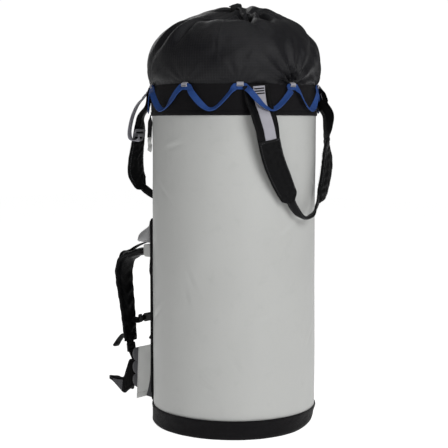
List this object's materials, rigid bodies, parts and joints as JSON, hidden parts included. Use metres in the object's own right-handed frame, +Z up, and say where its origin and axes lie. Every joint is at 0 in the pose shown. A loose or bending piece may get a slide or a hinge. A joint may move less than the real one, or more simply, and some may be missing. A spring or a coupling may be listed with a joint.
{
  "type": "haul bag",
  "caption": "Tall round coated-fabric haul bag with a gathered storm collar, gear-loop webbing, padded haul straps and a pack harness.",
  "frame": {"origin": "centre of the base underside, on the surface the bag stands on", "axes": "+Z up the tube, -Y the front haul strap, +Y the harness, X across"},
  "size_m": [0.4743, 0.6137, 1.0949],
  "materials": {
    "shell_fabric": "coated, satin",
    "ballistic_fabric": "ballistic weave, semi-matte",
    "ripstop_fabric": "coated ripstop, soft sheen",
    "blue_webbing": "woven",
    "grey_webbing": "woven",
    "black_webbing": "woven",
    "padded_black_fabric": "woven over foam",
    "foam_mesh": "spacer mesh",
    "dark_grey_fabric": "woven",
    "cord": "braided",
    "buckle_plastic": "moulded"
  },
  "bodies": {
    "root": {"base_disc": "ballistic_fabric", "base_band": "ballistic_fabric", "body_shell": "shell_fabric", "collar_band": "ballistic_fabric", "rim_webbing": "black_webbing", "storm_collar": "ripstop_fabric", "drawcord": "cord", "cord_lock_body": "buckle_plastic", "gear_loop_webbing": "blue_webbing", "gear_loop_tab_01": "grey_webbing", "gear_loop_tab_02": "grey_webbing", "gear_loop_tab_03": "grey_webbing", "gear_loop_tab_04": "grey_webbing", "gear_loop_tab_05": "grey_webbing", "gear_loop_tab_06": "grey_webbing", "gear_loop_tab_07": "grey_webbing", "gear_loop_tab_08": "grey_webbing", "gear_loop_tab_09": "grey_webbing", "gear_loop_tab_10": "grey_webbing", "front_haul_webbing_left": "grey_webbing", "front_haul_webbing_right": "grey_webbing", "rear_haul_webbing_left": "grey_webbing", "rear_haul_webbing_right": "grey_webbing", "harness_panel": "padded_black_fabric", "back_pad": "foam_mesh", "shoulder_yoke": "shell_fabric", "lumbar_pad": "foam_mesh", "lower_webbing_left": "black_webbing", "lower_webbing_right": "black_webbing"},
    "cord_lock_button": {"cord_lock_button": "buckle_plastic"},
    "front_haul_strap": {"front_haul_sleeve_left": "padded_black_fabric", "front_haul_sleeve_right": "padded_black_fabric", "front_haul_bend": "black_webbing"},
    "rear_haul_strap": {"rear_haul_sleeve_left": "padded_black_fabric", "rear_haul_sleeve_right": "padded_black_fabric", "rear_haul_bend": "black_webbing"},
    "rear_haul_lock": {"rear_haul_lock": "buckle_plastic"},
    "shoulder_straps": {"shoulder_strap_left": "padded_black_fabric", "shoulder_strap_right": "padded_black_fabric", "load_lifter_webbing_left": "black_webbing", "load_lifter_webbing_right": "black_webbing", "sternum_webbing_left": "black_webbing", "sternum_socket": "buckle_plastic"},
    "sternum_clip": {"sternum_clip": "buckle_plastic", "sternum_webbing_right": "black_webbing"},
    "load_lifter_lock_left": {"load_lifter_lock_left": "buckle_plastic"},
    "load_lifter_lock_right": {"load_lifter_lock_right": "buckle_plastic"},
    "lower_lock_left": {"lower_lock_left": "buckle_plastic"},
    "lower_lock_right": {"lower_lock_right": "buckle_plastic"},
    "hip_wing_left": {"hip_wing_left": "padded_black_fabric", "hip_buckle_socket": "buckle_plastic"},
    "hip_wing_right": {"hip_wing_right": "padded_black_fabric", "hip_buckle_clip": "buckle_plastic"},
    "harness_hood": {"harness_hood": "dark_grey_fabric"},
    "side_flap_left": {"side_flap_left": "shell_fabric"},
    "side_flap_right": {"side_flap_right": "shell_fabric"},
    "side_tether": {"side_tether": "black_webbing", "side_tether_tab": "grey_webbing"}
  },
  "joints": [
    {"name": "cord_lock_press", "type": "slide", "parent": "root", "child": "cord_lock_button", "axis": [-0.9636, 0.0295, -0.2658], "range_m": [0, 0.003], "stiffness_N_per_m": 900},
    {"name": "front_haul_strap_swing", "type": "hinge", "parent": "root", "child": "front_haul_strap", "pos_m": [0, -0.21, 0.812], "axis": [-1, 0, 0], "range_deg": [0, 120]},
    {"name": "rear_haul_strap_swing", "type": "hinge", "parent": "root", "child": "rear_haul_strap", "pos_m": [0, 0.213, 0.812], "axis": [1, 0, 0], "range_deg": [0, 120]},
    {"name": "rear_haul_lock_tilt", "type": "hinge", "parent": "rear_haul_strap", "child": "rear_haul_lock", "pos_m": [-0.134, 0.209, 0.7718], "axis": [-1, 0, 0], "range_deg": [0, 40]},
    {"name": "shoulder_strap_swing", "type": "hinge", "parent": "root", "child": "shoulder_straps", "pos_m": [0, 0.2405, 0.4465], "axis": [1, 0, 0], "range_deg": [0, 15]},
    {"name": "sternum_clip_slide", "type": "slide", "parent": "shoulder_straps", "child": "sternum_clip", "axis": [1, 0, 0], "range_m": [0, 0.025]},
    {"name": "load_lifter_lock_left_tilt", "type": "hinge", "parent": "shoulder_straps", "child": "load_lifter_lock_left", "pos_m": [-0.069, 0.3292, 0.4265], "axis": [-1, 0, 0], "range_deg": [0, 40]},
    {"name": "load_lifter_lock_right_tilt", "type": "hinge", "parent": "shoulder_straps", "child": "load_lifter_lock_right", "pos_m": [0.069, 0.3292, 0.4265], "axis": [-1, 0, 0], "range_deg": [0, 40]},
    {"name": "lower_lock_left_tilt", "type": "hinge", "parent": "shoulder_straps", "child": "lower_lock_left", "pos_m": [-0.069, 0.3141, 0.1794], "axis": [1, 0, 0], "range_deg": [0, 35]},
    {"name": "lower_lock_right_tilt", "type": "hinge", "parent": "shoulder_straps", "child": "lower_lock_right", "pos_m": [0.069, 0.3141, 0.1794], "axis": [1, 0, 0], "range_deg": [0, 35]},
    {"name": "hip_wing_left_swing", "type": "hinge", "parent": "root", "child": "hip_wing_left", "pos_m": [-0.1085, 0.266, 0.105], "axis": [0, 0, 1], "range_deg": [0, 60]},
    {"name": "hip_wing_right_swing", "type": "hinge", "parent": "root", "child": "hip_wing_right", "pos_m": [0.1085, 0.266, 0.105], "axis": [0, 0, -1], "range_deg": [0, 60]},
    {"name": "harness_hood_lift", "type": "hinge", "parent": "root", "child": "harness_hood", "pos_m": [0, 0.2235, 0.5285], "axis": [1, 0, 0], "range_deg": [0, 95]},
    {"name": "side_flap_left_swing", "type": "hinge", "parent": "root", "child": "side_flap_left", "pos_m": [-0.123, 0.1865, 0.12], "axis": [0, 0, 1], "range_deg": [0, 75]},
    {"name": "side_flap_right_swing", "type": "hinge", "parent": "root", "child": "side_flap_right", "pos_m": [0.123, 0.1865, 0.12], "axis": [0, 0, -1], "range_deg": [0, 75]},
    {"name": "side_tether_swing", "type": "hinge", "parent": "root", "child": "side_tether", "pos_m": [-0.15732, 0.15192, 0.8055], "axis": [0.6947, 0.7193, 0], "range_deg": [0, 90]}
  ]
}
